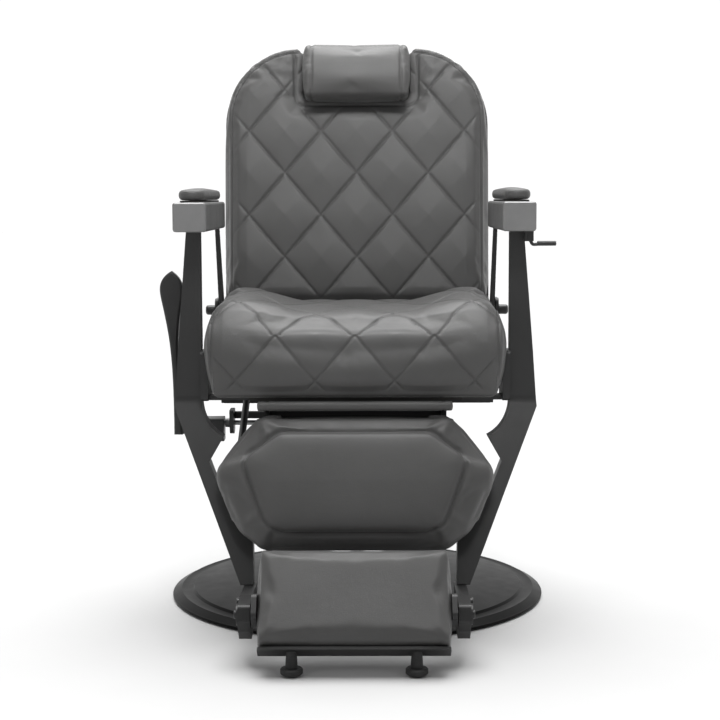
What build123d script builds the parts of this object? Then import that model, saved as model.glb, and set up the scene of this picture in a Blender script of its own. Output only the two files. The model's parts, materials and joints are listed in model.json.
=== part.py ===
"""Hydraulic barber chair: disc base, pump column, padded seat, reclining back, calf rest and footrest.

Millimetres. The origin is the middle of the base on the floor, +Z is up, and the chair faces -Y.
Distances called "forward" are measured along -Y from the column's axis.
"""

from build123d import *
import os
from math import cos, radians, sin

# ---- driving dimensions ----
BASE_R = 351.0
PLATE_R = 310.0
FLANGE_R, FLANGE_Z = 95.0, (34.0, 46.0)
CYLINDER_R, CYLINDER_TOP = 55.0, 300.0
BUSH_R, PISTON_R, SLIDE_FIT = 46.0, 38.0, 0.05
HEAD_R, HEAD_Z = 62.0, (309.0, 345.0)

SEAT_HALF = 259.5
SEAT_BOTTOM, SEAT_FRONT, SEAT_REAR = 411.0, -298.0, 72.0
TUBE = 30.0
FRONT_TUBE_Y, REAR_TUBE_Y = (-215.0, -185.0), (96.0, 126.0)

BACK_PIVOT = (100.0, 533.0)
BACK_TILT = 7.9
BACK_HALF, BACK_BOTTOM, BACK_TOP = 259.0, 530.0, 1053.0
BACK_PAD, BACK_SHELL = 84.0, 28.0
NOTCH_HALF, NOTCH_BOTTOM, SHOULDER_R = 106.0, 950.0, 146.0

CALF_TOP, CALF_TILT, CALF_PAD = (-320.0, 392.0), 20.15, 60.0
CALF_PIVOT = (-285.0, 360.0)
CALF_OUTLINE = ((168.0, 0.0), (244.0, 100.0), (196.0, 201.0), (160.0, 232.0))

FOOT_TOP, FOOT_TILT, FOOT_HALF, FOOT_LENGTH = (-455.0, 192.0), 38.0, 155.0, 168.0
FOOT_PAD, FOOT_PIVOT = 38.0, (-480.0, 84.0)

POST_TOP, POST_BACK, POST_FRONT = 693.0, -184.0, -212.0
ARM_X, ARM_Y, ARM_Z = (251.0, 308.0), (-285.0, 60.0), (693.0, 743.0)
ARM_PAD_Z = (746.0, 768.0)
BRACE_X, HINGE_ARM_X = (260.0, 266.0), (269.0, 275.0)

CRANK_ARM = 85.0
LINK_X = -209.0
GAS_X, GAS_ARM, GAS_SWEEP, GAS_MID = 125.0, 95.0, 25.0, 50.0
GAS_FIXED = 256.0
LEVER_AXIS_Z = 326.0
RELEASE_AXIS, RELEASE_Y = (300.0, 682.0), -238.0
FRONT_TUBE_HALF, CALF_HINGE_X = 160.0, 133.0
BOLT_R, PIN_FIT = 6.5, 0.05

SIDES = (("left", 1), ("right", -1))   # the sitter's left is +X


# ---- small helpers ----
def block(x, y, z):
    """A box between two values on each axis."""
    size = [abs(pair[1] - pair[0]) for pair in (x, y, z)]
    middle = [(pair[0] + pair[1]) / 2 for pair in (x, y, z)]
    return Pos(*middle) * Box(*size)


def rod_x(x, y, z, radius):
    """A cylinder along X between the two values in x."""
    return Pos((x[0] + x[1]) / 2, y, z) * Rot(0, 90, 0) * Cylinder(radius, abs(x[1] - x[0]))


def rod_y(x, y, z, radius):
    """A cylinder along Y between the two values in y."""
    return Pos(x, (y[0] + y[1]) / 2, z) * Rot(90, 0, 0) * Cylinder(radius, abs(y[1] - y[0]))


def rod_z(radius, z, x=0.0, y=0.0):
    """A cylinder along Z between the two values in z."""
    return Pos(x, y, (z[0] + z[1]) / 2) * Cylinder(radius, abs(z[1] - z[0]))


def outline(points, radius):
    """A closed face with every corner rounded; radius is one value or a list."""
    return make_face(FilletPolyline(*points, radius=radius, close=True))


def side_plate(points, radius, x):
    """A plate cut to a rounded outline in the YZ plane, between two X values."""
    low, high = min(x), max(x)
    return extrude(Plane.YZ.offset(low) * outline(points, radius), amount=high - low)


def front_prism(face, y):
    """A face drawn in X and Z, made solid between two Y values."""
    low, high = min(y), max(y)
    return extrude(Plane.XZ.offset(-high) * face, amount=high - low)


def tilted(part, pivot, degrees):
    """Turns a part about the X line through pivot, top backwards for a positive angle."""
    y, z = pivot
    return Pos(0, y, z) * Rot(-degrees, 0, 0) * Pos(0, -y, -z) * part


def mirrored(part, side):
    """Parts are drawn on +X; the other side is their mirror image."""
    return part if side > 0 else mirror(part, about=Plane.YZ)


def leaned(part):
    """From the back's own upright frame to its place, leaning back at rest."""
    return tilted(part, BACK_PIVOT, BACK_TILT)


def polar(pivot, radius, degrees_down):
    """The point at a radius behind the pivot, turned down by an angle."""
    angle = radians(degrees_down)
    return pivot[0] + radius * cos(angle), pivot[1] - radius * sin(angle)


def group(parts):
    """Identical pieces that share one node."""
    return Compound(children=[part if isinstance(part, Solid) else part.solid() for part in parts])


def save(name, part):
    """Writes one node."""
    export_step(part, f"parts/{name}.step")


# ---- base and pump ----
def base_disc():
    """The stepped steel disc: rim, shallow groove and a gently domed plate."""
    profile = make_face(
        Line((0, 10), (318, 10)) + Line((318, 10), (320, 3)) + Line((320, 3), (BASE_R - 2, 3))
        + ThreePointArc((BASE_R - 2, 3), (BASE_R, 5.2), (BASE_R - 2.5, 8))
        + Line((BASE_R - 2.5, 8), (334, 16))
        + ThreePointArc((334, 16), (328, 14.8), (314, 15.5)) + Line((314, 15.5), (PLATE_R, 19.5))
        + ThreePointArc((PLATE_R, 19.5), (215, 29), (110, 34)) + Line((110, 34), (0, 34))
        + Line((0, 34), (0, 10)))
    disc = revolve(Plane.XZ * profile, Axis.Z)
    return disc - [rod_z(6.1, (9, 35), x, y) for x, y in bolt_circle()]


def bolt_circle():
    """Middles of the four bolts that hold the pump to the base."""
    return [(78 * cos(radians(a)), 78 * sin(radians(a))) for a in (45, 135, 225, 315)]


def base_floor_pad():
    """The rubber sheet that closes the base from below and stands on the floor."""
    return rod_z(345, (0, 3))


def pump_cylinder():
    """The pump's outer tube with its bolted foot flange."""
    body = rod_z(FLANGE_R, FLANGE_Z) + rod_z(CYLINDER_R, (FLANGE_Z[0], CYLINDER_TOP))
    bore = rod_z(BUSH_R + SLIDE_FIT, (FLANGE_Z[1], CYLINDER_TOP + 1))
    return body - bore - [rod_z(6.1, (30, 50), x, y) for x, y in bolt_circle()]


def base_bolts():
    """Four hexagon bolts from the flange into the disc."""
    bolts = []
    for x, y in bolt_circle():
        head = Pos(x, y, FLANGE_Z[1]) * extrude(RegularPolygon(10, 6), amount=8)
        bolts.append(head + rod_z(6, (14, FLANGE_Z[1]), x, y))
    return group(bolts)


def swivel_bush():
    """The bush that turns inside the pump's tube and guides the piston."""
    flange_top = HEAD_Z[0] - 1
    tube = rod_z(BUSH_R, (150, flange_top)) + rod_z(CYLINDER_R, (CYLINDER_TOP + 0.1, flange_top))
    return tube - rod_z(PISTON_R + SLIDE_FIT, (140, flange_top + 1))


def pump_head():
    """The head on the piston that holds the valve shaft."""
    head = rod_z(HEAD_R, HEAD_Z)
    head = chamfer(head.edges().group_by(Axis.Z)[-1], 3)
    return head - rod_x((-HEAD_R - 1, -HEAD_R + 14), 0, LEVER_AXIS_Z, 4.5 + PIN_FIT)


# ---- seat frame ----
def seat_board():
    """The plywood board under the seat cushion, grooved for the flat bars of the side brackets."""
    board = fillet(block((-195, 195), (-222, 50), (397, SEAT_BOTTOM)).edges().filter_by(Axis.Z), 25)
    return board - block((-200, 200), FRONT_TUBE_Y, (396, 405))


def side_brackets():
    """The plates beside the seat that carry the arm posts, each on a flat bar over the front tube."""
    points = ((-232, 397), (-150, 397), (-150, 470), (-170, 484), (-232, 484))
    bracket = side_plate(points, 6, (257, 270)) + block((110, 257), FRONT_TUBE_Y, (397, 405))
    bracket = bracket - arm_post(1)
    return group([bracket, mirrored(bracket, -1)])


def arm_post(side):
    """The bent post from the armrest down to the footrest, seen in front and side outline."""
    front = make_face(
        Line((270, POST_TOP), (294, POST_TOP)) + Line((294, POST_TOP), (304, 572))
        + Line((304, 572), (311, 485)) + Line((311, 485), (318, 386))
        + Line((318, 386), (193, 102)) + Line((193, 102), (171, 102)) + Line((171, 102), (174, 172))
        + Line((174, 172), (211, 203)) + Line((211, 203), (253, 296))
        + Line((253, 296), (230, 336)) + ThreePointArc((230, 336), (254, 354), (270, 394))
        + Line((270, 394), (270, POST_TOP)))
    across = front_prism(front, (-470, -150))
    along = side_plate(
        ((POST_BACK, POST_TOP), (POST_FRONT, POST_TOP), (POST_FRONT, 398), (-362, 102),
         (-332, 102), (POST_BACK, 386)), [1, 1, 30, 1, 1, 30], (150, 330))
    return mirrored(across & along, side)


def arm_box(side):
    """The steel box that carries the arm pad."""
    box = block(ARM_X, ARM_Y, ARM_Z)
    box = fillet(box.edges().filter_by(Axis.Y), 5)
    return mirrored(chamfer(box.faces().sort_by(Axis.Y)[0].edges(), 2), side)


def arm_pad(side):
    """The padded top of an armrest."""
    pad = block((253, 304), (-276, 52), ARM_PAD_Z)
    pad = fillet(pad.edges().filter_by(Axis.Z), 24)
    return mirrored(fillet(pad.faces().sort_by(Axis.Z)[-1].edges(), 10), side)


def arm_pad_boards():
    """The thin boards between the boxes and the pads."""
    board = fillet(block((259, 299), (-268, 44), (ARM_Z[1], ARM_PAD_Z[0])).edges().filter_by(Axis.Z), 19)
    return group([board, mirrored(board, -1)])


def rear_brace(side):
    """The flat bar from the armrest through the recline pivot to the rear tube."""
    y, z = BACK_PIVOT
    points = ((14, POST_TOP), (44, POST_TOP), (y + 24, z + 12), (REAR_TUBE_Y[1], 350),
              (REAR_TUBE_Y[0], 350), (y - 22, z - 8))
    plate = side_plate(points, [1, 1, 20, 4, 4, 20], BRACE_X)
    return mirrored(plate - rod_x((255, 270), y, z, BOLT_R + PIN_FIT), side)


def recline_bolts():
    """The shouldered bolts that the back turns on."""
    y, z = BACK_PIVOT
    bolt = rod_x((BRACE_X[0], HINGE_ARM_X[1] + 1), y, z, BOLT_R) + rod_x((HINGE_ARM_X[1] + 1, 294), y, z, 9.5)
    bolt = fillet(bolt.faces().sort_by(Axis.X)[-1].edges(), 5)
    return group([bolt, mirrored(bolt, -1)])


def bracket_bolts():
    """The bolt head on the outside of each foot bracket."""
    head = fillet(rod_x((187, 195), -420, 88, 8).edges().group_by(Axis.X)[-1], 2)
    return group([head, mirrored(head, -1)])


# ---- back ----
def back_outline():
    """The back's front outline: round shoulders and a notch for the headrest."""
    height = BACK_TOP - BACK_BOTTOM
    face = Pos(0, BACK_BOTTOM + height / 2) * Rectangle(2 * BACK_HALF, height)
    face = fillet(face.vertices().group_by(Axis.Y)[-1], SHOULDER_R)
    notch = Pos(0, NOTCH_BOTTOM + 100) * Rectangle(2 * NOTCH_HALF, 200)
    notch = fillet(notch.vertices().group_by(Axis.Y)[0], 20)
    face = face - notch
    corners = [v for v in face.vertices() if abs(abs(v.X) - NOTCH_HALF) < 1 and v.Y > BACK_TOP - 5]
    return fillet(corners, 5)


def backrest_cushion():
    """The padded front of the back."""
    y = BACK_PIVOT[0]
    return leaned(front_prism(back_outline(), (y, y + BACK_PAD)))


def backrest_shell():
    """The upholstered board that closes the back from behind."""
    y = BACK_PIVOT[0] + BACK_PAD
    return leaned(front_prism(back_outline(), (y, y + BACK_SHELL)))


def back_cross_tube():
    """The tube behind the back's lower edge that joins the two hinge arms."""
    y = BACK_PIVOT[0] + BACK_PAD + BACK_SHELL
    reach = HINGE_ARM_X[0]
    return leaned(block((-reach, reach), (y, y + TUBE), (BACK_BOTTOM - 2, BACK_BOTTOM + TUBE - 2)))


def hinge_arm(side):
    """The flat arm from the recline bolt to the cross tube's end."""
    y, z = BACK_PIVOT
    rear = y + BACK_PAD + BACK_SHELL + TUBE
    points = ((y - 18, z - 16), (y - 18, z + 20), (y + 40, z + 27), (rear, z + 27), (rear, z - 6),
              (y + 40, z - 16))
    plate = side_plate(points, 10, HINGE_ARM_X) - rod_x((255, 290), y, z, BOLT_R + PIN_FIT)
    return mirrored(leaned(plate), side)


def crank_pin(degrees=45.0):
    """Where the calf link meets the back, below and behind the pivot."""
    return polar(BACK_PIVOT, CRANK_ARM * 2 ** 0.5, degrees)


def link_lug():
    """The lug and pin on the back that drive the calf link."""
    y, z = crank_pin()
    points = ((y - 14, z - 6), (y + 26, z + 62), (y + 56, z + 62), (y + 40, z + 34), (y + 8, z - 14))
    lug = side_plate(points, 6, (LINK_X - 16, LINK_X - 9)) + rod_x((LINK_X - 16, LINK_X + 9), y, z, 6)
    return lug - back_cross_tube()


def gas_lug():
    """The lug and pin on the back that the gas spring pulls."""
    y, z = polar(BACK_PIVOT, GAS_ARM, GAS_MID - GAS_SWEEP)
    points = ((y - 12, z - 4), (y - 4, z + 11), (y + 44, z + 11), (y + 60, z + 6), (y + 52, z - 6),
              (y + 4, z - 13))
    lug = side_plate(points, 3, (GAS_X + 12, GAS_X + 19)) + rod_x((GAS_X - 8, GAS_X + 19), y, z, 5)
    return lug - back_cross_tube()


def headrest_guide():
    """The channel behind the back that the headrest bar slides in."""
    y = BACK_PIVOT[0] + BACK_PAD + BACK_SHELL
    passage = block((-20.1, 20.1), (y + 7.9, y + 16.1), (820, 890))
    channel = block((-30, 30), (y, y + 22), (830, 880)) - passage
    return leaned(channel)


def headrest_pad():
    """The headrest cushion, thick enough to stand forward of the back."""
    y = BACK_PIVOT[0]
    points = ((y + 55, 957), (y + 55, 1043), (y - 42, 1048), (y - 70, 985), (y - 64, 936),
              (y - 6, 936), (y - 6, 957))
    return leaned(side_plate(points, [10, 10, 18, 20, 14, 8, 4], (-101, 101)))


def headrest_bar():
    """The headrest's plate, bridge and sliding bar."""
    y = BACK_PIVOT[0]
    plate = block((-45, 45), (y + 55, y + 61), (968, 1034))
    bridge = block((-20, 20), (y + 61, y + 128), (1000, 1012))
    bar = block((-20, 20), (y + 120, y + 128), (740, 1012))
    return leaned(plate + bridge + bar)


# ---- calf rest ----
def calf_tilted(part):
    """From the calf rest's own upright frame to its place."""
    return tilted(part, CALF_TOP, CALF_TILT)


def calf_slab(inset, y, radius):
    """The calf rest's eight-sided outline, drawn in by an inset, between two depths."""
    points = [(x - inset, CALF_TOP[1] - drop) for x, drop in CALF_OUTLINE]
    points[0] = (points[0][0], points[0][1] - inset)
    points[-1] = (points[-1][0], points[-1][1] + inset)
    ring = points + [(-x, z) for x, z in reversed(points)]
    return calf_tilted(front_prism(outline(ring, radius), y))


def calf_body(inset, y, radius):
    """A layer of the calf rest with the two hinge pockets, open at the back and the top."""
    low, front = CALF_TOP[1] - 42, CALF_TOP[0] + 27
    pockets = [block((x, x + 38), (front, front + 60), (low, low + 80)) for x in (128, -166)]
    return calf_slab(inset, y, radius) - [calf_tilted(pocket) for pocket in pockets]


def calf_pad():
    """The calf rest's cushion."""
    return calf_body(0, (CALF_TOP[0], CALF_TOP[0] + CALF_PAD), 26)


def calf_board():
    """The board behind the calf rest's cushion."""
    front = CALF_TOP[0] + CALF_PAD
    return calf_body(14, (front, front + 12), 24)


def calf_arm(side):
    """The arm behind the calf rest that turns on its hinge pin."""
    y, z = CALF_PIVOT
    across = (CALF_HINGE_X, CALF_HINGE_X + 6)
    boss = rod_x(across, y, z, 15)
    back = CALF_TOP[0] + CALF_PAD + 12
    strip = side_plate(((back, 362), (back, 268), (back + 16, 268), (back + 20, 366)), 3, across)
    web = side_plate(((y - 8, z - 12), (y - 2, z + 12), (back + 22, z + 8), (back + 12, z - 40)), 3, across)
    arm = boss + calf_tilted(strip) + (web - calf_board() - calf_pad())
    return mirrored(arm - rod_x((100, 200), y, z, 6 + PIN_FIT), side)


def calf_crank():
    """The crank and pin behind the calf rest that the link pushes."""
    y, z = CALF_PIVOT[0] + CRANK_ARM, CALF_PIVOT[1] - CRANK_ARM
    back = CALF_TOP[0] + CALF_PAD + 12
    points = ((y + 10, z + 10), (y - 2, z + 13), (-262, 318), (-330, 290), (-320, 240), (y, z - 13))
    plate = side_plate(points, 5, (LINK_X + 10, LINK_X + 17))
    plate = plate - calf_tilted(block((-300, 300), (back - 200, back), (50, 420)))
    return plate + rod_x((LINK_X - 8, LINK_X + 10), y, z, 6)


def calf_roll():
    """The small padded roll along the calf rest's top edge."""
    roll = rod_x((-168, 168), -296, 0, 8.5)
    return Pos(0, 0, 397) * fillet(roll.edges(), 4)


def calf_brackets():
    """The plates on the front tube that hold the calf rest's hinge pins."""
    y, z = CALF_PIVOT
    points = ((y - 11, z - 9), (y - 11, z + 9), (FRONT_TUBE_Y[0], 388), (FRONT_TUBE_Y[0], 356), (y, z - 14))
    plate = side_plate(points, 5, (CALF_HINGE_X + 17, CALF_HINGE_X + 23))
    plate = plate - rod_x((100, 200), y, z, 6 + PIN_FIT)
    return group([plate, mirrored(plate, -1)])


def calf_pins():
    """The calf rest's hinge pins, with heads on the outside."""
    y, z = CALF_PIVOT
    pin = rod_x((CALF_HINGE_X - 1, CALF_HINGE_X + 23), y, z, 6)
    pin += rod_x((CALF_HINGE_X + 23, CALF_HINGE_X + 28), y, z, 10)
    return group([pin, mirrored(pin, -1)])


# ---- link and gas spring ----
def link_rod():
    """The rod from the back's crank to the calf rest's crank."""
    y, z = crank_pin()
    front_y, front_z = CALF_PIVOT[0] + CRANK_ARM, CALF_PIVOT[1] - CRANK_ARM
    length = ((y - front_y) ** 2 + (z - front_z) ** 2) ** 0.5
    rise = (z - front_z) / length
    run = (y - front_y) / length
    middle = Plane(origin=(LINK_X, (y + front_y) / 2, (z + front_z) / 2), z_dir=(0, run, rise))
    rod = middle * Cylinder(6.5, length - 20)
    eyes = rod_x((LINK_X - 8, LINK_X + 8), y, z, 13) + rod_x((LINK_X - 8, LINK_X + 8), front_y, front_z, 13)
    holes = rod_x((LINK_X - 12, LINK_X + 12), y, z, 6 + PIN_FIT)
    holes += rod_x((LINK_X - 12, LINK_X + 12), front_y, front_z, 6.4)
    return rod + eyes - holes


def gas_point(along):
    """A point on the gas spring's axis, so far down from its rod's eye at rest."""
    angle = radians(GAS_MID)
    sagitta = GAS_ARM * (1 - cos(radians(GAS_SWEEP)))
    y, z = polar(BACK_PIVOT, GAS_ARM - sagitta / 2, GAS_MID)
    reach = along - GAS_ARM * sin(radians(GAS_SWEEP))
    return y - reach * sin(angle), z - reach * cos(angle)


def gas_tube(start, end, radius):
    """A cylinder on the gas spring's axis."""
    y, z = gas_point((start + end) / 2)
    angle = radians(GAS_MID)
    plane = Plane(origin=(GAS_X, y, z), z_dir=(0, sin(angle), cos(angle)))
    return plane * Cylinder(radius, end - start)


def gas_spring_cylinder():
    """The gas spring's barrel, with a plain eye at its fixed end."""
    y, z = gas_point(GAS_FIXED)
    barrel = gas_tube(98, GAS_FIXED - 9, 11) - gas_tube(90, 226, 5 + PIN_FIT)
    eye = rod_x((GAS_X - 8, GAS_X + 8), y, z, 12) - rod_x((GAS_X - 9, GAS_X + 9), y, z, 5 + PIN_FIT)
    return barrel + eye


def gas_spring_rod():
    """The gas spring's rod; its eye has room for the crank's arc."""
    y, z = gas_point(0)
    eye = rod_x((GAS_X - 7, GAS_X + 7), y, z, 14.5)
    return eye + gas_tube(11, 136, 5) - rod_x((GAS_X - 9, GAS_X + 9), y, z, 10)


def gas_spring_bracket():
    """The plate and pin that hold the gas spring to the seat rail."""
    y, z = gas_point(GAS_FIXED)
    plate = side_plate(((y - 16, z - 14), (y - 16, 390), (y + 22, 390), (y + 16, z - 14)), 5, (105, 111))
    return plate + rod_x((111, GAS_X + 12), y, z, 5)


# ---- levers ----
def lever_bracket():
    """The hanger on the top plate that carries the pump lever's shaft."""
    plate = side_plate(((-22, 352), (22, 352), (16, 306), (-16, 306)), [4, 4, 12, 12], (-240, -232))
    arm = block((-232, -75), (6, 22), (HEAD_Z[1] - 12, HEAD_Z[1]))
    return plate + arm - rod_x((-245, -225), 0, LEVER_AXIS_Z, 4.5 + PIN_FIT)


def lever_hub():
    """The block that clamps the lever to its shaft."""
    hub = fillet(block((-290, -251), (-18, 18), (292, 337)).edges().filter_by(Axis.X), 6)
    return hub - rod_x((-270, -250), 0, LEVER_AXIS_Z, 4.5)


def pump_lever():
    """The upright paddle that works the pump: a slim curved bar with a broad round end."""
    left = Spline((-346, 304), (-347, 400), (-354, 492), (-366, 557), (-369, 582), (-347, 614))
    right = Spline((-347, 614), (-326, 582), (-329, 549), (-335.5, 489), (-334, 400), (-329.5, 304))
    paddle = front_prism(make_face(left + right + Line((-329.5, 304), (-346, 304))), (-11, 11))
    paddle = fillet(paddle.faces().sort_by(Axis.Y)[0].edges() + paddle.faces().sort_by(Axis.Y)[-1].edges(), 5)
    return paddle + front_prism(outline(((-340, 307), (-290, 303), (-290, 325), (-340, 327)), 3), (-9, 9))


def release_bracket():
    """The two ears under the left armrest that hold the recline release."""
    x, z = RELEASE_AXIS
    ends = (x - 8, x + 7)
    middles = (RELEASE_Y - 9.5, RELEASE_Y + 9.5)
    ears = [block(ends, (at - 2.5, at + 2.5), (z - 7, ARM_Z[0])) for at in middles]
    plate = block(ends, (RELEASE_Y - 12, RELEASE_Y + 12), (ARM_Z[0] - 3, ARM_Z[0]))
    pin = rod_y(x, (RELEASE_Y - 14, RELEASE_Y + 14), z, 3)
    return ears[0] + ears[1] + plate + pin


def release_lever():
    """The bent rod with a thick grip that frees the back when its tip is lifted."""
    x, z = RELEASE_AXIS
    corners = ((x + 1, RELEASE_Y, z - 3), (x + 6, RELEASE_Y, z - 13), (x + 44, RELEASE_Y, z - 11))
    path = FilletPolyline(*corners, radius=5)
    rod = sweep(Plane(origin=path @ 0, z_dir=path % 0) * Circle(2.8), path)
    boss = rod_y(x, (RELEASE_Y - 6.7, RELEASE_Y + 6.7), z, 6)
    grip = fillet(rod_x((x + 14, x + 47), RELEASE_Y, z - 11, 4.2).edges(), 2)
    return boss + rod + grip - rod_y(x, (RELEASE_Y - 9, RELEASE_Y + 9), z, 3 + PIN_FIT)


# ---- footrest ----
def foot_tilted(part):
    """From the footrest's own upright frame to its place."""
    return tilted(part, FOOT_TOP, FOOT_TILT)


def foot_pad():
    """The footrest cushion, rounded along its long edges."""
    y, z = FOOT_TOP
    pad = block((-FOOT_HALF, FOOT_HALF), (y, y + FOOT_PAD), (z - FOOT_LENGTH, z))
    return foot_tilted(fillet(pad.faces().sort_by(Axis.Y)[0].edges().filter_by(Axis.X), 12))


def foot_tray():
    """The steel tray behind and below the footrest cushion, with its hinge ears."""
    y, z = FOOT_TOP
    rear, low = y + FOOT_PAD, z - FOOT_LENGTH
    back = block((-153, 153), (rear, rear + 4), (low - 5, z - 4))
    lip = block((-153, 153), (y + 14, rear + 4), (low - 5, low))
    lip = fillet(lip.faces().sort_by(Axis.Y)[0].edges().filter_by(Axis.Z), 6)
    ear = side_plate(((y + 12, z - 122), (y + 12, z - 76), (rear + 22, z - 76), (rear + 22, z - 122)), 10,
                     (156, 164.5))
    web = block((150, 156), (rear, rear + 4), (z - 118, z - 80))
    ears = [mirrored(part, side) for part in (ear, web) for _, side in SIDES]
    tray = foot_tilted(back + lip + ears)
    return tray - rod_x((-170, 170), *FOOT_PIVOT, 7 + PIN_FIT)


def foot_bumpers():
    """Two rubber bumpers under the tray: a tapered stem on a broad foot."""
    outline = ((0, 2.5), (16, 2.5), (18, 4.5), (18, 11), (16, 13), (10, 13), (7.5, 60), (0, 60))
    stem = make_face(Polyline(*outline, close=True))
    stem = revolve(Plane.XZ * stem, Axis.Z)
    low = FOOT_TOP[1] - FOOT_LENGTH - 5
    above = foot_tilted(block((-200, 200), (FOOT_TOP[0] - 90, FOOT_TOP[0] + 120), (low, low + 300)))
    return group([Pos(x, -535, 0) * stem - above for x in (-99, 99)])


def foot_bracket(side):
    """The casting at a post's lower end with the footrest's hinge barrel."""
    y, z = FOOT_PIVOT
    points = ((-334, 102), (-366, 102), (-440, 106), (y - 14, z + 18), (y - 20, z - 8), (y - 8, z - 26),
              (y + 12, z - 44), (y + 44, z - 44), (-340, 76))
    body = side_plate(points, [1, 1, 10, 8, 8, 8, 6, 10, 10], (167, 187)) + rod_x((167, 190), y, z, 17)
    slots = [block((160, 181), (y + 22, y + 62), (level, level + 5)) for level in (z - 24, z - 12)]
    return mirrored(body - slots - rod_x((160, 200), y, z, 7 + PIN_FIT), side)


def footrest_pins():
    """The footrest's hinge pins."""
    pin = rod_x((156.5, 194), *FOOT_PIVOT, 7)
    pin = fillet(pin.faces().sort_by(Axis.X)[-1].edges(), 2)
    return group([pin, mirrored(pin, -1)])


# ---- build ----
def frame_parts():
    """The straight tubes, plates and the piston, which are plain stock."""
    rail_y = (FRONT_TUBE_Y[1], REAR_TUBE_Y[0])
    return {
        "pump_piston": rod_z(PISTON_R, (70, HEAD_Z[0])),
        "top_plate": block((-105, 105), (-90, 90), (HEAD_Z[1], 357)),
        "seat_rails": group([block((75, 105), rail_y, (357, 397)), block((-105, -75), rail_y, (357, 397))]),
        "cross_tube_front": block((-FRONT_TUBE_HALF, FRONT_TUBE_HALF), FRONT_TUBE_Y, (357, 397)),
        "cross_tube_rear": block((-260, 260), REAR_TUBE_Y, (350, 380)),
        "lever_shaft": rod_x((-268, -HEAD_R + 12), 0, LEVER_AXIS_Z, 4.5),
        "lever_spring": rod_x((-250, -241), 0, LEVER_AXIS_Z, 9) - rod_x((-252, -239), 0, LEVER_AXIS_Z, 6),
    }


def seat_cushion():
    """The seat cushion: a rounded front edge, a dip along the middle and raised sides."""
    side = side_plate(
        ((SEAT_FRONT + 6, SEAT_BOTTOM), (SEAT_FRONT - 2, 480), (SEAT_FRONT + 10, 532), (-215, 561),
         (SEAT_REAR, 572), (SEAT_REAR, SEAT_BOTTOM)),
        [6, 60, 26, 60, 16, 14], (-SEAT_HALF - 20, SEAT_HALF + 20))
    half = ((105, 550), (200, 573), (SEAT_HALF, 573), (SEAT_HALF, 504), (256.5, 482), (247, SEAT_BOTTOM - 20))
    across = list(half) + [(-x, z) for x, z in reversed(half)]
    radii = [60, 60, 16, 8, 8, 2]
    return side & front_prism(outline(across, radii + radii[::-1]), (SEAT_FRONT - 20, SEAT_REAR + 1))


def main():
    """Makes every node and writes it."""
    os.makedirs("parts", exist_ok=True)
    nodes = frame_parts()
    single = (base_disc, base_floor_pad, pump_cylinder, base_bolts, swivel_bush, pump_head, side_brackets,
              seat_board, seat_cushion, arm_pad_boards, recline_bolts, bracket_bolts, backrest_cushion,
              backrest_shell, back_cross_tube, link_lug, gas_lug, headrest_guide, headrest_pad,
              headrest_bar, calf_pad, calf_board, calf_crank, calf_roll, calf_brackets, calf_pins,
              link_rod, gas_spring_cylinder, gas_spring_rod, gas_spring_bracket, lever_bracket, lever_hub,
              pump_lever, release_bracket, release_lever, foot_pad, foot_tray, foot_bumpers,
              footrest_pins)
    nodes |= {make.__name__: make() for make in single}
    for make in (arm_post, arm_box, arm_pad, rear_brace, hinge_arm, calf_arm, foot_bracket):
        nodes |= {f"{make.__name__}_{name}": make(side) for name, side in SIDES}
    for name, part in nodes.items():
        save(name, part)


main()
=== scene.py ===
import json
import math

import bmesh
import bpy
import numpy as np
from mathutils import Matrix, Vector
from mathutils.bvhtree import BVHTree


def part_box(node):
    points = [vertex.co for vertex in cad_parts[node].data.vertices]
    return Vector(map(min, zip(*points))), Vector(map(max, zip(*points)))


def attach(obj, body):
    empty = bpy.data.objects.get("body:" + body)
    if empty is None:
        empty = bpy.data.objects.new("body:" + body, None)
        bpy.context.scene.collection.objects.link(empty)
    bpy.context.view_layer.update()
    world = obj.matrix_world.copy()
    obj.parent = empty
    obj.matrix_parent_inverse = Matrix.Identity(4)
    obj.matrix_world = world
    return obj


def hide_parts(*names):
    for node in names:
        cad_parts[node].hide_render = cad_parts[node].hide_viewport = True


# Looks of the hydraulic barber chair: leather pads, painted steel, a pale studio and a camera.
# Metres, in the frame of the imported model: +Z up, the chair faces -Y, +X is the sitter's left.

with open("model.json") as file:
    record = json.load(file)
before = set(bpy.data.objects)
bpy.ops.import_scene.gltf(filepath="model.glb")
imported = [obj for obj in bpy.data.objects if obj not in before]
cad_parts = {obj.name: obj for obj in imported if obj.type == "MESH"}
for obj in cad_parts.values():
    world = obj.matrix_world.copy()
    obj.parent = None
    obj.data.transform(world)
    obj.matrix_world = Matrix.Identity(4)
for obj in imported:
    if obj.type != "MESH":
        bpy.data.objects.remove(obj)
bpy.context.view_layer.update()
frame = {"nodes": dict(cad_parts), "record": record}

# ---- the frame's own directions and sizes ----
BACK_TILT = math.radians(7.9)
BACK_PIVOT = Vector((0, 0.100, 0.533))
CALF_TILT = math.radians(20.15)
CALF_TOP = Vector((0, -0.320, 0.392))
FOOT_TILT = math.radians(38)
FOOT_TOP = Vector((0, -0.455, 0.192))

QUILT_HALF = 0.070        # half the width of a diamond on the back
QUILT_RISE = 0.0822       # half its height on the back
SEAT_QUILT = 0.0680       # half the width of a diamond on the seat
CREST_Z = 0.517           # height of the first row of crossings, on the seat's front edge
FRONT_ROW = 0.0775        # from one row to the next, down the seat's front
FIRST_ROW, TOP_ROW = 0.072, 0.092  # the first row behind the crest, and each row after it
QUILT_REACH = 0.26        # how far the net's lines are followed each way
SEAM_WIDTH = 0.0022       # half-width of a quilting seam's groove
BORDER_WIDTH = 0.0024     # half-width of a border seam's groove
STITCH_STEP = 0.0056      # from one stitch to the next
STITCH_LENGTH = 0.0036
THREAD = 0.0006           # radius of the thread
AIR_PRESSURE = 4.0
CLOTH_FRAMES = 20


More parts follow.
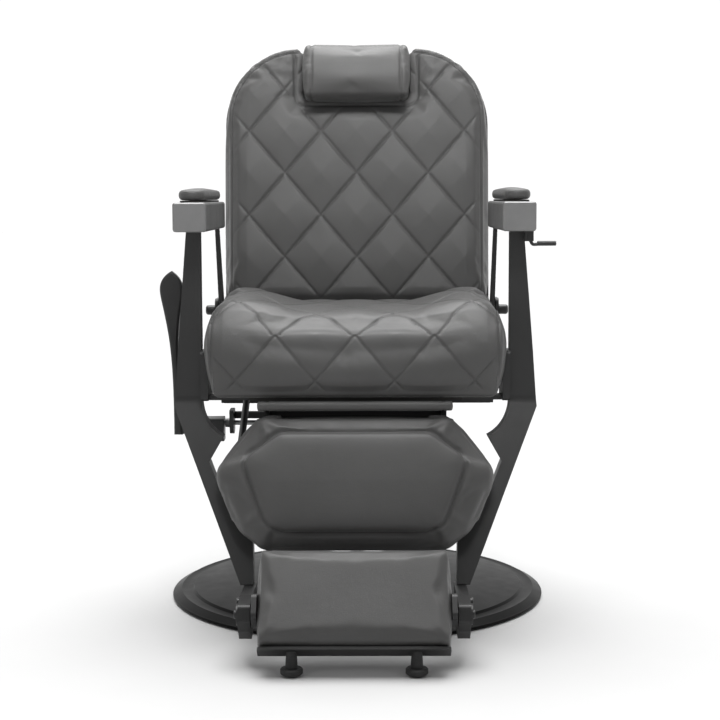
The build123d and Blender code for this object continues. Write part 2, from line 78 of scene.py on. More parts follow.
# ---- materials ----
def new_material(name):
    """An empty node material; gives its material, node tree and principled shader."""
    material = bpy.data.materials.new(name)
    material.use_nodes = True
    tree = material.node_tree
    shader = tree.nodes["Principled BSDF"]
    return material, tree, shader


def object_coordinates(tree):
    """The object's own coordinates, in metres."""
    return tree.nodes.new("ShaderNodeTexCoord").outputs["Object"]


def noise(tree, scale, detail=4.0, roughness=0.55):
    """A noise texture in object space."""
    node = tree.nodes.new("ShaderNodeTexNoise")
    node.inputs["Scale"].default_value = scale
    node.inputs["Detail"].default_value = detail
    node.inputs["Roughness"].default_value = roughness
    tree.links.new(object_coordinates(tree), node.inputs["Vector"])
    return node.outputs["Fac"]


def ramp(tree, value, stops):
    """A colour ramp over a value."""
    node = tree.nodes.new("ShaderNodeValToRGB")
    node.color_ramp.elements[0].position = stops[0][0]
    node.color_ramp.elements[0].color = (*stops[0][1], 1)
    node.color_ramp.elements[1].position = stops[-1][0]
    node.color_ramp.elements[1].color = (*stops[-1][1], 1)
    for position, colour in stops[1:-1]:
        node.color_ramp.elements.new(position).color = (*colour, 1)
    tree.links.new(value, node.inputs["Fac"])
    return node.outputs["Color"]


def spread(tree, value, low, high):
    """Maps 0..1 to low..high."""
    node = tree.nodes.new("ShaderNodeMapRange")
    node.inputs["To Min"].default_value = low
    node.inputs["To Max"].default_value = high
    tree.links.new(value, node.inputs["Value"])
    return node.outputs["Result"]


def bump(tree, height, strength, distance, below=None):
    """A bump from a height, on top of another bump."""
    node = tree.nodes.new("ShaderNodeBump")
    node.inputs["Strength"].default_value = strength
    node.inputs["Distance"].default_value = distance
    tree.links.new(height, node.inputs["Height"])
    if below is not None:
        tree.links.new(below, node.inputs["Normal"])
    return node.outputs["Normal"]


def grey(value):
    """A neutral colour."""
    return (value, value, value)


def leather_material(tone, shine):
    """Grey pebbled leather: fine cells, soft creases, uneven colour and polish."""
    material, tree, shader = new_material("leather")
    cells = tree.nodes.new("ShaderNodeTexVoronoi")
    cells.feature = "DISTANCE_TO_EDGE"
    cells.inputs["Scale"].default_value = 620
    tree.links.new(object_coordinates(tree), cells.inputs["Vector"])
    grain = ramp(tree, cells.outputs["Distance"], [(0.0, grey(0.0)), (0.22, grey(1.0))])
    patches = noise(tree, 9, 5)
    colour = ramp(tree, patches, [(0.25, (tone * 0.88, tone * 0.87, tone * 0.855)),
                                  (0.75, (tone * 1.12, tone * 1.11, tone * 1.095))])
    tree.links.new(colour, shader.inputs["Base Color"])
    polish = spread(tree, noise(tree, 24, 6), shine - 0.06, shine + 0.08)
    tree.links.new(polish, shader.inputs["Roughness"])
    creases = bump(tree, noise(tree, 60, 8, 0.62), 0.22, 0.0016)
    tree.links.new(bump(tree, grain, 0.28, 0.00035, creases), shader.inputs["Normal"])
    shader.inputs["Specular IOR Level"].default_value = 0.42
    shader.inputs["Sheen Weight"].default_value = 0.05
    return material


def painted_material(name, tone, roughness, grain=0.10, metallic=0.0, specular=0.5):
    """Painted steel with a fine orange-peel or powder texture, dust and rubbed patches."""
    material, tree, shader = new_material(name)
    wear = noise(tree, 7, 8)
    colour = ramp(tree, wear, [(0.3, grey(tone * 0.85)), (0.72, grey(tone * 1.25))])
    tree.links.new(colour, shader.inputs["Base Color"])
    polish = spread(tree, noise(tree, 35, 7), roughness - 0.07, roughness + 0.09)
    tree.links.new(polish, shader.inputs["Roughness"])
    tree.links.new(bump(tree, noise(tree, 1400, 2), grain, 0.0002), shader.inputs["Normal"])
    shader.inputs["Metallic"].default_value = metallic
    shader.inputs["Specular IOR Level"].default_value = specular
    return material


def metal_material(name, tone, roughness, brushed=False):
    """Bare or plated metal with faint smears, or fine turned marks when brushed."""
    material, tree, shader = new_material(name)
    shader.inputs["Metallic"].default_value = 1.0
    smears = noise(tree, 40, 6)
    colour = ramp(tree, smears, [(0.2, (tone * 0.9, tone * 0.91, tone * 0.92)),
                                 (0.8, grey(tone * 1.04))])
    tree.links.new(colour, shader.inputs["Base Color"])
    tree.links.new(spread(tree, smears, roughness, roughness + 0.12), shader.inputs["Roughness"])
    marks = noise(tree, 900 if brushed else 260, 3)
    tree.links.new(bump(tree, marks, 0.12 if brushed else 0.03, 0.0002), shader.inputs["Normal"])
    return material


def rubber_material():
    """Matte black rubber with dusty patches."""
    material, tree, shader = new_material("rubber")
    colour = ramp(tree, noise(tree, 30, 7), [(0.35, grey(0.010)), (0.75, grey(0.026))])
    tree.links.new(colour, shader.inputs["Base Color"])
    tree.links.new(spread(tree, noise(tree, 50, 4), 0.6, 0.85), shader.inputs["Roughness"])
    tree.links.new(bump(tree, noise(tree, 900, 3), 0.25, 0.0003), shader.inputs["Normal"])
    return material


def painted_shade_plywood_material():
    """Birch ply held near black as painted shade for the dark gaps where the boards show under the seat and
    below the pads; long grain streaks under the dark colour.
    """
    material, tree, shader = new_material("plywood")
    stretch = tree.nodes.new("ShaderNodeMapping")
    stretch.inputs["Scale"].default_value = (2, 60, 60)
    tree.links.new(object_coordinates(tree), stretch.inputs["Vector"])
    grain = tree.nodes.new("ShaderNodeTexNoise")
    grain.inputs["Scale"].default_value = 6
    grain.inputs["Detail"].default_value = 8
    tree.links.new(stretch.outputs["Vector"], grain.inputs["Vector"])
    # Painted shade: the ply's colour is kept near black so that the boards read as the shade around them.
    colour = ramp(tree, grain.outputs["Fac"], [(0.3, (0.006, 0.005, 0.004)),
                                               (0.7, (0.018, 0.016, 0.014))])
    tree.links.new(colour, shader.inputs["Base Color"])
    shader.inputs["Roughness"].default_value = 0.7
    tree.links.new(bump(tree, grain.outputs["Fac"], 0.2, 0.0004), shader.inputs["Normal"])
    return material


def thread_material():
    """Matte sewing thread, close to the leather in tone."""
    material, tree, shader = new_material("thread")
    colour = ramp(tree, noise(tree, 1800, 2), [(0.3, grey(0.03)), (0.7, grey(0.09))])
    tree.links.new(colour, shader.inputs["Base Color"])
    shader.inputs["Roughness"].default_value = 0.75
    return material


LEATHER = leather_material(0.058, 0.46)
THREAD_MATERIAL = thread_material()
MATERIALS = {
    "black_paint": painted_material("powder_coat", 0.012, 0.46, 0.22),
    "base_paint": painted_material("gloss_enamel", 0.006, 0.34, 0.05, 0.0, 0.04),
    # Arm boxes: the same black steel as the rest, made light grey (tone 0.20, partly metallic) as a painted
    # highlight for the light from above on their tilted fronts.
    "arm_paint": painted_material("painted_highlight_enamel", 0.20, 0.42, 0.35, 0.6),
    "steel": metal_material("turned_steel", 0.42, 0.3, True),
    "chrome": metal_material("chrome_plate", 0.72, 0.08),
    "rubber": rubber_material(),
    "plywood": painted_shade_plywood_material(),
    "bolt_steel": painted_material("blackened_steel", 0.012, 0.38, 0.12),
    "leather": LEATHER,
}


def dress_cad_nodes():
    """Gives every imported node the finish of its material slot."""
    slots = {row["node"]: row["material_slot"] for row in frame["record"]["subparts"]}
    for name, node in frame["nodes"].items():
        node.data.materials.clear()
        node.data.materials.append(MATERIALS[slots[name]])


# ---- places ----
def lean(pivot, angle):
    """From an upright frame to one turned about the X line through pivot, top backwards."""
    return Matrix.Translation(pivot) @ Matrix.Rotation(-angle, 4, "X") @ Matrix.Translation(-pivot)


BACK = lean(BACK_PIVOT, BACK_TILT)
CALF = lean(CALF_TOP, CALF_TILT)
FOOT = lean(FOOT_TOP, FOOT_TILT)


def into_back():
    """The direction straight into the leaning back."""
    return (BACK.to_3x3() @ Vector((0, 1, 0))).normalized()


# ---- mesh helpers ----
def link(name, mesh, material):
    """Makes an object from a mesh."""
    piece = bpy.data.objects.new(name, mesh)
    bpy.context.scene.collection.objects.link(piece)
    mesh.materials.append(material)
    return piece


def positions(piece):
    """The vertices of a piece as an array."""
    values = np.zeros(len(piece.data.vertices) * 3, np.float32)
    piece.data.vertices.foreach_get("co", values)
    return values.reshape(-1, 3).astype(float)


def normals(piece):
    """The vertex normals of a piece as an array."""
    values = np.zeros(len(piece.data.vertices) * 3, np.float32)
    piece.data.vertices.foreach_get("normal", values)
    return values.reshape(-1, 3).astype(float)


def set_positions(piece, values):
    """Moves the vertices of a piece."""
    piece.data.vertices.foreach_set("co", values.astype(np.float32).ravel())
    piece.data.update()


def apply_modifiers(piece):
    """Puts the result of the modifiers in the mesh."""
    shown = piece.evaluated_get(bpy.context.evaluated_depsgraph_get())
    mesh = bpy.data.meshes.new_from_object(shown)
    piece.modifiers.clear()
    old = piece.data
    piece.data = mesh
    bpy.data.meshes.remove(old)


def slab(name, ring, y_front, y_back, round_over):
    """A closed slab from an outline in X and Z between two depths, its edges rounded over."""
    made = bmesh.new()
    front = [made.verts.new((x, y_front, z)) for x, z in ring]
    face = made.faces.new(front)
    result = bmesh.ops.extrude_face_region(made, geom=[face])
    moved = [v for v in result["geom"] if isinstance(v, bmesh.types.BMVert)]
    bmesh.ops.translate(made, verts=moved, vec=(0, y_back - y_front, 0))
    bmesh.ops.recalc_face_normals(made, faces=made.faces)
    edges = [e for e in made.edges if e.is_manifold and e.calc_face_angle() > 1.0
             and abs(e.verts[0].co.y - e.verts[1].co.y) < 1e-6]
    bmesh.ops.bevel(made, geom=edges, offset=round_over, segments=5, profile=0.5,
                    affect="EDGES", clamp_overlap=True)
    mesh = bpy.data.meshes.new(name)
    made.to_mesh(mesh)
    made.free()
    return link(name, mesh, LEATHER)


def profile_pad(name, ring, half, round_over):
    """A closed pad from an outline in Y and Z swept across X, its ends rounded over."""
    piece = slab(name, ring, -half, half, round_over)
    points = positions(piece)
    set_positions(piece, points[:, [1, 0, 2]])
    flip_outward(piece)
    return piece


def flip_outward(piece):
    """Turns the faces of a closed piece outward."""
    made = bmesh.new()
    made.from_mesh(piece.data)
    bmesh.ops.recalc_face_normals(made, faces=made.faces)
    made.to_mesh(piece.data)
    made.free()


def remesh(piece, voxel):
    """Gives the piece an even skin of small faces."""
    modifier = piece.modifiers.new("skin", "REMESH")
    modifier.mode = "VOXEL"
    modifier.voxel_size = voxel
    apply_modifiers(piece)


def puff(piece, cap, held):
    """Blows the leather up by a cloth simulation, by cap at most; held marks the points that stay."""
    scene = bpy.context.scene
    before = positions(piece)
    modifier = piece.modifiers.new("air", "CLOTH")
    settings = modifier.settings
    settings.use_pressure = True
    settings.uniform_pressure_force = AIR_PRESSURE
    settings.effector_weights.gravity = 0
    settings.quality = 4
    settings.tension_stiffness = 25
    settings.compression_stiffness = 25
    settings.bending_stiffness = 2
    pins = piece.vertex_groups.new(name="held")
    pins.add([int(i) for i in np.nonzero(held(before))[0]], 1.0, "REPLACE")
    settings.vertex_group_mass = "held"
    modifier.point_cache.frame_start = 1
    modifier.point_cache.frame_end = CLOTH_FRAMES
    for step in range(1, CLOTH_FRAMES + 1):
        scene.frame_set(step)
    apply_modifiers(piece)
    scene.frame_set(1)
    after = positions(piece)
    move = after - before
    size = np.linalg.norm(move, axis=1, keepdims=True)
    set_positions(piece, before + move * np.minimum(1.0, cap / np.maximum(size, 1e-9)))


def relax(piece, rounds, factor=0.5):
    """Smooths the skin."""
    modifier = piece.modifiers.new("relax", "SMOOTH")
    modifier.iterations = rounds
    modifier.factor = factor
    apply_modifiers(piece)


def refine(piece):
    """One round of subdivision."""
    modifier = piece.modifiers.new("finer", "SUBSURF")
    modifier.levels = 1
    modifier.render_levels = 1
    apply_modifiers(piece)


def push(piece, amount):
    """Moves each point along its normal by amount(points, normals)."""
    points, facing = positions(piece), normals(piece)
    set_positions(piece, points + facing * amount(points, facing)[:, None])


def smooth_shade(piece):
    """Smooth shading all over."""
    piece.data.polygons.foreach_set("use_smooth", [True] * len(piece.data.polygons))
    piece.data.update()


def place(piece, matrix):
    """Puts the drawing frame of a piece in its real place."""
    piece.data.transform(matrix)
    piece.data.update()
    return piece


# ---- seams and stitches ----
def groove(distance, width, depth):
    """How far a seam pulls the leather in, at a distance from the seam."""
    return -depth * np.exp(-(distance / width) ** 2)


def diamond_distance(u, v, half, rise):
    """Distance to the nearest line of a diamond net crossing at the origin, and 0 there to 1 mid-diamond."""
    scale = half * rise / math.hypot(half, rise)
    first = np.abs((u / half + v / rise + 1) % 2 - 1)
    second = np.abs((u / half - v / rise + 1) % 2 - 1)
    return np.minimum(first, second) * scale, np.maximum(0, first * second)


def stitch_mesh(name, groups, surface):
    """Short stitches along groups of runs, each group dropped on the surface in its own direction."""
    tree = BVHTree.FromObject(surface, bpy.context.evaluated_depsgraph_get())
    made = bmesh.new()
    for runs, direction in groups:
        for start, along in (place_at for run in runs for place_at in stitch_places(run)):
            hit, normal, _, _ = tree.ray_cast(start - direction * 0.12, direction, 0.4)
            if hit is not None:
                add_stitch(made, hit, normal, along)
    mesh = bpy.data.meshes.new(name)
    made.to_mesh(mesh)
    made.free()
    piece = link(name, mesh, THREAD_MATERIAL)
    smooth_shade(piece)
    return piece


def stitch_places(run):
    """Places and directions one stitch apart along a polyline."""
    places = []
    carry = 0.0
    for first, last in zip(run, run[1:]):
        span = last - first
        length = span.length
        if length < 1e-9:
            continue
        at = carry
        while at < length:
            places.append((first + span * (at / length), span / length))
            at += STITCH_STEP
        carry = at - length
    return places


def add_stitch(made, hit, normal, along):
    """One stitch: a small six-sided bead that dips in at both ends."""
    along = (along - normal * along.dot(normal)).normalized()
    across = normal.cross(along)
    rings = []
    for t, radius, lift in ((-0.5, 0.3, -0.4), (-0.3, 0.9, 0.2), (0.3, 0.9, 0.2), (0.5, 0.3, -0.4)):
        middle = hit + along * (t * STITCH_LENGTH) + normal * (lift * THREAD)
        rings.append([made.verts.new(middle + (across * math.cos(a) + normal * math.sin(a)) * radius * THREAD)
                      for a in (k * math.pi / 3 for k in range(6))])
    for low, high in zip(rings, rings[1:]):
        for k in range(6):
            made.faces.new((low[k], low[(k + 1) % 6], high[(k + 1) % 6], high[k]))
    made.faces.new(reversed(rings[0]))
    made.faces.new(rings[-1])


def diamond_runs(inside, point, half, rise):
    """The net's lines as runs of points where inside(u, v) holds."""
    runs = []
    step = 0.01
    count = int(QUILT_REACH / half) + 2
    for sign in (1, -1):
        for k in range(-2 * count, 2 * count + 1, 2):
            run = []
            for i in range(int(2 * QUILT_REACH / step) + 1):
                u = -QUILT_REACH + i * step
                v = (k - sign * u / half) * rise
                if inside(u, v):
                    run.append(point(u, v))
                elif len(run) > 1:
                    runs.append(run)
                    run = []
                else:
                    run = []
            if len(run) > 1:
                runs.append(run)
    return runs


def along_ring(ring, matrix, y):
    """A closed outline in X and Z as a run of placed points."""
    return [matrix @ Vector((x, y, z)) for x, z in (*ring, ring[0])]


# ---- outlines ----
def arc(centre, radius, start, end, count):
    """Points on an arc, in degrees."""
    angles = [math.radians(start + (end - start) * i / (count - 1)) for i in range(count)]
    return [(centre[0] + radius * math.cos(a), centre[1] + radius * math.sin(a)) for a in angles]


def back_ring(inset):
    """The back's outline, drawn in by an inset, with its headrest notch."""
    half, top, bottom = 0.260 - inset, 1.054 - inset, 0.530 + inset
    shoulder, lobe = 0.146 - inset, 0.012
    notch, floor = 0.104 + inset, 0.950 - inset
    side = arc((half - 0.03, bottom + 0.03), 0.03, -90, 0, 6)
    side += arc((half - shoulder, top - shoulder), shoulder, 0, 90, 16)
    side += arc((notch + lobe, top - lobe), lobe, 90, 180, 6)
    side += arc((notch - 0.02, floor + 0.02), 0.02, 0, -90, 6)
    return side + [(-x, z) for x, z in reversed(side)]


def rounded_ring(corners, radii, count=7):
    """A closed outline with its corners rounded."""
    ring = []
    total = len(corners)
    for i, corner in enumerate(corners):
        here = Vector(corner)
        before = (Vector(corners[i - 1]) - here).normalized()
        after = (Vector(corners[(i + 1) % total]) - here).normalized()
        radius = radii[i] if isinstance(radii, (list, tuple)) else radii
        turn = before.angle(after) / 2
        reach = radius / math.tan(turn)
        middle = here + (before + after).normalized() * (radius / math.sin(turn))
        first, last = here + before * reach - middle, here + after * reach - middle
        sweep = math.atan2(first.x * last.y - first.y * last.x, first.dot(last))
        start = math.atan2(first.y, first.x)
        ring += [(middle.x + radius * math.cos(start + sweep * k / (count - 1)),
                  middle.y + radius * math.sin(start + sweep * k / (count - 1))) for k in range(count)]
    return ring


def ring_distance(points, ring):
    """Distance of each (u, v) to a closed outline."""
    best = np.full(len(points), 1e9)
    ring = np.array(ring)
    for a, b in zip(ring, np.roll(ring, -1, axis=0)):
        span = b - a
        t = np.clip(((points - a) @ span) / max(span @ span, 1e-12), 0, 1)
        best = np.minimum(best, np.linalg.norm(points - a - t[:, None] * span, axis=1))
    return best


# ---- soft pieces ----
def finish_pad(piece, body, fill, *nodes):
    """Smooth shading and body of one soft piece; hides the nodes it stands in for."""
    smooth_shade(piece)
    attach(piece, body)
    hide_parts(*nodes)
    return piece


def backrest():
    """The quilted back, its border seam, and its upholstered shell with a piped joint."""
    front = BACK_PIVOT.y
    crossing = 0.6356
    border = back_ring(0.016)
    pad = slab("backrest_pad", back_ring(0.004), front + 0.006, front + 0.082, 0.022)
    remesh(pad, 0.0042)
    puff(pad, 0.008, lambda p: p[:, 1] > front + 0.070)
    relax(pad, 3)
    refine(pad)

    def quilt(points, facing):
        on_front = np.clip(-facing[:, 1] * 1.6 - 0.3, 0, 1)
        distance, hill = diamond_distance(points[:, 0], points[:, 2] - crossing, QUILT_HALF, QUILT_RISE)
        edge = ring_distance(points[:, [0, 2]], border)
        inner = np.clip(edge / 0.03, 0, 1) * on_front
        swell = 0.0062 * hill ** 0.5 * inner
        seams = groove(distance, SEAM_WIDTH, 0.0022) * inner + groove(edge, BORDER_WIDTH, 0.0024)
        return swell + seams * on_front

    push(pad, quilt)
    place(pad, BACK)
    finish_pad(pad, "backrest", 0.7, "backrest_cushion")

    half, top = 0.258 - 0.02, 1.053 - 0.02

    def inside(u, v):
        z = v + crossing
        if abs(u) > half or not 0.54 < z < top:
            return False
        if abs(u) < 0.122 and z > 0.934:
            return False
        return math.hypot(max(0, abs(u) - 0.112), max(0, z - 0.907)) < 0.126

    def place_of(u, v):
        return BACK @ Vector((u, front, v + crossing))

    runs = diamond_runs(inside, place_of, QUILT_HALF, QUILT_RISE)
    towards = into_back()
    runs.append(along_ring(border, BACK, front))
    stitches = stitch_mesh("backrest_stitches", [(runs, towards)], pad)
    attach(stitches, "backrest")

    shell = slab("backrest_shell_cover", back_ring(0.001), front + 0.0835, front + 0.1115, 0.009)
    remesh(shell, 0.006)
    relax(shell, 2)
    refine(shell)
    place(shell, BACK)
    finish_pad(shell, "backrest", 0.3, "backrest_shell")
    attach(piping("backrest_piping", along_ring(back_ring(0.0), BACK, front + 0.0828), 0.0026), "backrest")


def piping(name, run, radius):
    """A thin welt along a closed run of points."""
    piece = link(name, tube(name, run[:-1], radius, True), LEATHER)
    smooth_shade(piece)
    return piece


def tube(name, path, radius, closed):
    """The mesh of a round tube along a path, joined end to start or with flat ends."""
    curve = bpy.data.curves.new(name, "CURVE")
    curve.dimensions = "3D"
    curve.bevel_depth = radius
    curve.bevel_resolution = 3
    curve.use_fill_caps = not closed
    spline = curve.splines.new("POLY")
    spline.points.add(len(path) - 1)
    for point, place_at in zip(spline.points, path):
        point.co = (*place_at, 1)
    spline.use_cyclic_u = closed
    holder = bpy.data.objects.new(name + "_path", curve)
    bpy.context.scene.collection.objects.link(holder)
    bpy.context.view_layer.update()
    depsgraph = bpy.context.evaluated_depsgraph_get()
    mesh = bpy.data.meshes.new_from_object(holder.evaluated_get(depsgraph))
    bpy.data.objects.remove(holder)
    return mesh


def seat():
    """The seat: a bulging front, raised sides, quilting and side seams."""
    low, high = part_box("seat_cushion")
    front, rear, bottom = low.y, high.y, low.z
    ring = rounded_ring(
        [(front + 0.016, bottom - 0.002), (front + 0.002, 0.482), (front + 0.012, 0.528), (-0.215, 0.543),
         (rear - 0.002, 0.551), (rear - 0.002, bottom - 0.002)],
        [0.010, 0.08, 0.032, 0.10, 0.018, 0.010])
    pad = profile_pad("seat_pad", ring, high.x - 0.004, 0.016)
    remesh(pad, 0.0045)
    puff(pad, 0.007, lambda p: p[:, 2] < bottom + 0.010)
    relax(pad, 3)
    set_positions(pad, seat_shape(positions(pad), front, rear, bottom))
    refine(pad)
    seam_x = high.x - 0.013
    crest_y = front + 0.011

    def quilt(points, facing):
        shown = np.clip(np.maximum(-facing[:, 1], facing[:, 2]) * 1.6 - 0.3, 0, 1)
        rows = seat_rows(points, front, crest_y)
        distance, hill = diamond_distance(points[:, 0], rows, SEAT_QUILT, 1.0)
        side = np.abs(np.abs(points[:, 0]) - seam_x)
        within = (np.abs(points[:, 0]) < seam_x) * np.clip(side / 0.02, 0, 1) * shown
        lower = np.clip((points[:, 2] - bottom - 0.010) / 0.012, 0, 1)
        swell = 0.0052 * hill ** 0.5 * within * lower
        seams = groove(distance, SEAM_WIDTH, 0.0020) * within + groove(side, BORDER_WIDTH, 0.0026)
        return swell + seams * shown * lower

    push(pad, quilt)
    finish_pad(pad, "seat", 0.75, "seat_cushion")
    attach(seat_stitches(pad, front, rear, bottom, crest_y, seam_x), "seat")


def seat_shape(points, front, rear, bottom):
    """Raises the seat's sides above its middle and draws its lower edge in."""
    x, y, z = points[:, 0], points[:, 1], points[:, 2]
    share = np.clip((np.abs(x) - 0.095) / 0.105, 0, 1)
    rise = 0.021 * share * share * (3 - 2 * share)
    behind = np.clip((y - front - 0.008) / 0.070, 0, 1)
    height = np.clip((z - bottom) / (0.54 - bottom), 0, 1)
    lifted = z + rise * behind ** 0.7 * height ** 2
    tuck = 1 - 0.045 * (1 - np.clip((z - bottom) / 0.085, 0, 1)) ** 1.5
    return np.column_stack([x * tuck, y, lifted])


def seat_rows(points, front, crest_y):
    """Rows of the diamond net: 0 at the crest, +1 at the next crossing down, negative on the top."""
    down = np.clip(CREST_Z - points[:, 2], 0, None) / FRONT_ROW
    back = np.clip(points[:, 1] - crest_y, 0, None)
    top = np.where(back < FIRST_ROW, back / FIRST_ROW, 1 + (back - FIRST_ROW) / TOP_ROW)
    return np.where(points[:, 1] - front < 0.024, np.where(down > 0, down, -top), -top)


def seat_stitches(pad, front, rear, bottom, crest_y, seam_x):
    """Stitches on the seat's front, top and side seams, as one piece."""
    above_seat = 0.58

    def row_depth(row):
        return crest_y + (FIRST_ROW * row if row < 1 else FIRST_ROW + TOP_ROW * (row - 1))

    def on_front(u, v):
        return abs(u) < seam_x and 0.02 <= v < (CREST_Z - bottom - 0.010) / FRONT_ROW

    def on_top(u, v):
        return abs(u) < seam_x and v < -0.08 and row_depth(-v) < rear - 0.02

    def front_place(u, v):
        return Vector((u, front, CREST_Z - FRONT_ROW * v))

    def top_place(u, v):
        return Vector((u, row_depth(-v), above_seat))

    forward = diamond_runs(on_front, front_place, SEAT_QUILT, 1.0)
    above = diamond_runs(on_top, top_place, SEAT_QUILT, 1.0)
    for side in (-1, 1):
        forward.append([Vector((side * seam_x * 0.975, front, bottom + 0.010)),
                        Vector((side * seam_x, front, 0.490)), Vector((side * seam_x, front, 0.520))])
        above.append([Vector((side * seam_x, y, above_seat)) for y in (crest_y + 0.008, rear - 0.02)])
    groups = [(forward, Vector((0, 1, 0))), (above, Vector((0, 0, -1)))]
    return stitch_mesh("seat_stitches", groups, pad)


def headrest():
    """The headrest: a thick pad with a sewn panel at each end."""
    y = BACK_PIVOT.y
    corners = [(y + 0.053, 0.959), (y + 0.053, 1.041), (y - 0.040, 1.046), (y - 0.067, 0.985),
               (y - 0.061, 0.938), (y - 0.007, 0.938), (y - 0.007, 0.959)]
    ring = rounded_ring(corners, [0.010, 0.010, 0.020, 0.022, 0.014, 0.006, 0.004])
    pad = profile_pad("headrest_cushion", ring, 0.100, 0.010)
    remesh(pad, 0.004)
    puff(pad, 0.004, lambda p: p[:, 1] > y + 0.045)
    relax(pad, 3)
    refine(pad)
    seam_x = 0.086

    def sew(points, facing):
        side = np.abs(np.abs(points[:, 0]) - seam_x)
        shown = np.clip(1.4 - np.abs(facing[:, 0]) * 1.6, 0, 1) * (points[:, 1] < y + 0.04)
        return groove(side, 0.0026, 0.0022) * shown

    push(pad, sew)
    place(pad, BACK)
    finish_pad(pad, "headrest", 0.8, "headrest_pad")
    runs = [[BACK @ Vector((side * seam_x, y, z)) for z in (0.942, 0.985, 1.044)] for side in (-1, 1)]
    towards = into_back()
    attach(stitch_mesh("headrest_stitches", [(runs, towards)], pad), "headrest")


def calf_rest():
    """The calf rest: an eight-sided rim with a raised pad sewn inside it."""
    front, top = CALF_TOP.y, CALF_TOP.z
    half = [(0.166, 0.0), (0.243, 0.100), (0.195, 0.201), (0.158, 0.231)]
    inner_half = [(0.128, 0.034), (0.192, 0.080), (0.150, 0.192), (0.120, 0.206)]
    ring = mirrored_ring(half, top, [0.038, 0.036, 0.034, 0.028])
    inner = mirrored_ring(inner_half, top, [0.030, 0.030, 0.030, 0.020])
    pad = slab("calf_cushion", ring, front + 0.010, front + 0.059, 0.018)
    remesh(pad, 0.005)
    puff(pad, 0.007, lambda p: p[:, 1] > front + 0.050)
    relax(pad, 2)
    refine(pad)
    middle_z = top - 0.120

    def raise_middle(points, facing):
        flat = points[:, [0, 2]]
        distance = ring_distance(flat, inner)
        within = inside_ring(flat, inner)
        shown = np.clip(-facing[:, 1] * 1.6 - 0.2, 0, 1)
        bulge = np.where(within, 0.011 * (1 - np.exp(-distance / 0.012)), 0)
        crown = np.where(within, 0.002 * np.clip(1 - np.abs(points[:, 2] - middle_z) / 0.1, 0, 1), 0)
        return (bulge + crown + groove(distance, 0.0045, 0.0045)) * shown

    push(pad, raise_middle)
    relax(pad, 1, 0.3)
    points = positions(pad)
    pocket = (np.abs(np.abs(points[:, 0]) - 0.147) < 0.021) & (points[:, 2] > top - 0.044)
    points[pocket, 1] = np.minimum(points[pocket, 1], front + 0.0265)
    set_positions(pad, points)
    place(pad, CALF)
    finish_pad(pad, "calf_rest", 0.7, "calf_pad")

    roll = profile_pad("calf_roll_cover", arc((-0.296, 0.397), 0.0085, 0, 345, 24), 0.167, 0.003)
    remesh(roll, 0.003)
    relax(roll, 2)
    push(roll, lambda points, facing: groove(np.abs(np.abs(points[:, 0]) - 0.150), 0.002, 0.0014))
    finish_pad(roll, "calf_rest", 0.5, "calf_roll")


def mirrored_ring(half, top, radii):
    """A closed outline from its right half, given as (x, drop below top), with rounded corners."""
    right = [(x, top - drop) for x, drop in half]
    left = [(-x, z) for x, z in reversed(right)]
    return rounded_ring(right + left, radii + radii[::-1])


def inside_ring(points, ring):
    """Which (u, v) lie inside a closed outline."""
    ring = np.array(ring)
    hit = np.zeros(len(points), bool)
    for a, b in zip(ring, np.roll(ring, -1, axis=0)):
        if a[1] == b[1]:
            continue
        crosses = (a[1] > points[:, 1]) != (b[1] > points[:, 1])
        hit ^= crosses & (points[:, 0] < (b[0] - a[0]) * (points[:, 1] - a[1]) / (b[1] - a[1]) + a[0])
    return hit


def footrest():
    """The footrest: a smooth pad with rounded long edges."""
    y, z = FOOT_TOP.y, FOOT_TOP.z
    ring = rounded_ring([(y + 0.0375, z - 0.001), (y + 0.001, z - 0.001), (y + 0.001, z - 0.1665),
                         (y + 0.0375, z - 0.1665)], [0.006, 0.014, 0.012, 0.004])
    pad = profile_pad("foot_cushion", ring, 0.153, 0.009)
    remesh(pad, 0.0045)
    puff(pad, 0.004, lambda p: p[:, 1] > y + 0.033)
    relax(pad, 2)
    refine(pad)
    place(pad, FOOT)
    finish_pad(pad, "footrest", 0.7, "foot_pad")


def arm_pads():
    """The domed pads on the armrests."""
    for name in ("left", "right"):
        low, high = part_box(f"arm_pad_{name}")
        middle = (low.x + high.x) / 2
        half = (high.x - low.x) / 2 - 0.002
        radius = half - 0.001
        ring = arc((middle, low.y + 0.002 + half), radius, 180, 360, 12)
        ring += arc((middle, high.y - 0.002 - half), radius, 0, 180, 12)
        pad = slab(f"arm_cushion_{name}", ring, 0.0, high.z - low.z - 0.004, 0.007)
        points = positions(pad)
        set_positions(pad, np.column_stack([points[:, 0], points[:, 2], low.z + 0.0005 + points[:, 1]]))
        flip_outward(pad)
        remesh(pad, 0.003)
        base = low.z
        puff(pad, 0.005, lambda p: p[:, 2] < base + 0.004)
        relax(pad, 2)
        refine(pad)
        finish_pad(pad, "seat", 0.7, f"arm_pad_{name}")


def lever_spring():
    """The coil spring on the pump lever's shaft."""
    low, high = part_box("lever_spring")
    centre_y, centre_z = (low.y + high.y) / 2, (low.z + high.z) / 2
    wire, turns, per_turn = 0.0009, 4, 20
    radius = (high.y - low.y) / 2 - wire
    count = turns * per_turn
    path = []
    for i in range(count + 1):
        angle = 2 * math.pi * i / per_turn
        x = low.x + wire + (high.x - low.x - 2 * wire) * i / count
        path.append((x, centre_y + radius * math.cos(angle), centre_z + radius * math.sin(angle)))
    mesh = tube("lever_spring", path, wire, False)
    spring = link("lever_spring_coil", mesh, MATERIALS["steel"])
    smooth_shade(spring)
    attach(spring, "seat")
    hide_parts("lever_spring")


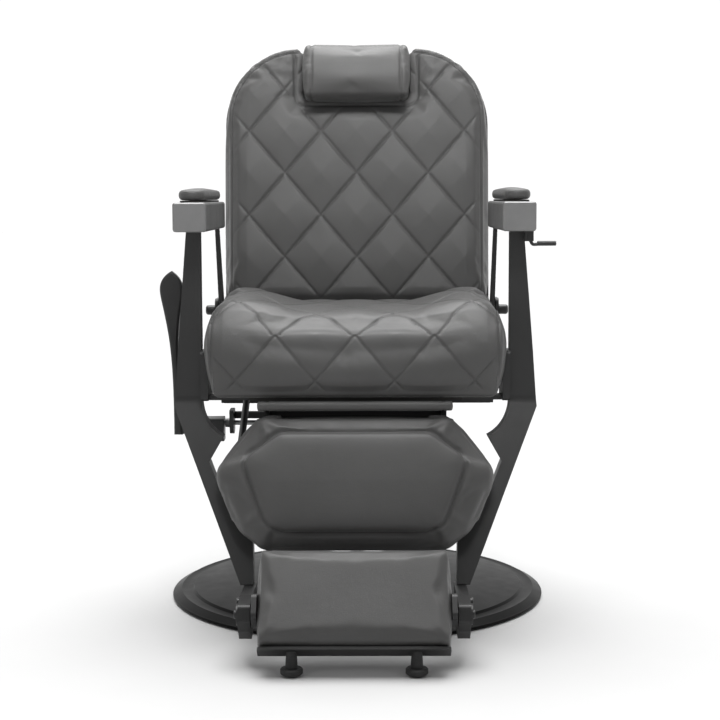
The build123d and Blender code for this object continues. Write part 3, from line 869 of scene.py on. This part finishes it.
# ---- studio ----
def studio():
    """A plain floor that the light brings to white, soft lights and the camera."""
    scene = bpy.context.scene
    scene.view_settings.view_transform = "Standard"
    mesh = bpy.data.meshes.new("floor")
    reach = 30
    corners = [(-reach, -reach, 0), (reach, -reach, 0), (reach, reach, 0), (-reach, reach, 0)]
    mesh.from_pydata(corners, [], [(0, 1, 2, 3)])
    material, tree, shader = new_material("studio_floor")
    colour = ramp(tree, noise(tree, 3), [(0, grey(0.47)), (1, grey(0.50))])
    tree.links.new(colour, shader.inputs["Base Color"])
    shader.inputs["Roughness"].default_value = 0.9
    floor = link("floor", mesh, material)
    scene.world = studio_world()
    overhead = bpy.data.lights.new("overhead", "SUN")
    overhead.energy = 4.9
    overhead.angle = math.radians(55)
    lamp = bpy.data.objects.new("overhead", overhead)
    lamp.rotation_euler = (math.radians(-14), 0, 0)
    scene.collection.objects.link(lamp)
    soft_light("left_light", (-1.9, -2.2, 1.7), (0, 0, 0.7), 0.9, 8)
    soft_light("right_light", (1.9, -2.2, 1.7), (0, 0, 0.7), 0.9, 6)
    soft_light("back_light", (0.1, -1.7, 2.35), (0, 0.12, 1.12), 0.6, 4.8, 52)
    camera()


def studio_world():
    """Soft light from all round: white behind the chair and grey in front of it."""
    world = bpy.data.worlds.new("studio")
    world.use_nodes = True
    tree = world.node_tree
    split = tree.nodes.new("ShaderNodeSeparateXYZ")
    tree.links.new(tree.nodes.new("ShaderNodeTexCoord").outputs["Generated"], split.inputs[0])
    fade = tree.nodes.new("ShaderNodeMapRange")
    fade.interpolation_type = "SMOOTHSTEP"
    fade.inputs["From Min"].default_value = -0.3
    fade.inputs["From Max"].default_value = 0.8
    fade.inputs["To Min"].default_value = 0.24
    fade.inputs["To Max"].default_value = 1.05
    tree.links.new(split.outputs["Y"], fade.inputs["Value"])
    tree.nodes["Background"].inputs["Color"].default_value = (1, 1, 1, 1)
    tree.links.new(fade.outputs["Result"], tree.nodes["Background"].inputs["Strength"])
    return world


def soft_light(name, place_at, target, size, power, spread_angle=180):
    """A square area light aimed at a point; a smaller spread angle keeps its light on the target."""
    data = bpy.data.lights.new(name, "AREA")
    data.size = size
    data.energy = power
    data.spread = math.radians(spread_angle)
    lamp = bpy.data.objects.new(name, data)
    lamp.location = place_at
    aim = Vector(target) - Vector(place_at)
    lamp.rotation_euler = aim.to_track_quat("-Z", "Y").to_euler()
    bpy.context.scene.collection.objects.link(lamp)


def camera():
    """The camera in front of the chair at chest height, tilted a little down."""
    data = bpy.data.cameras.new("camera")
    data.lens = 78.15
    data.sensor_width = 36
    lens = bpy.data.objects.new("camera", data)
    lens.location = (0.030, -2.937, 0.755)
    lens.rotation_euler = (math.radians(90 - 6.03), math.radians(0.2), 0.0076)
    bpy.context.scene.collection.objects.link(lens)
    bpy.context.scene.camera = lens


dress_cad_nodes()
backrest()
seat()
headrest()
calf_rest()
footrest()
arm_pads()
lever_spring()
studio()
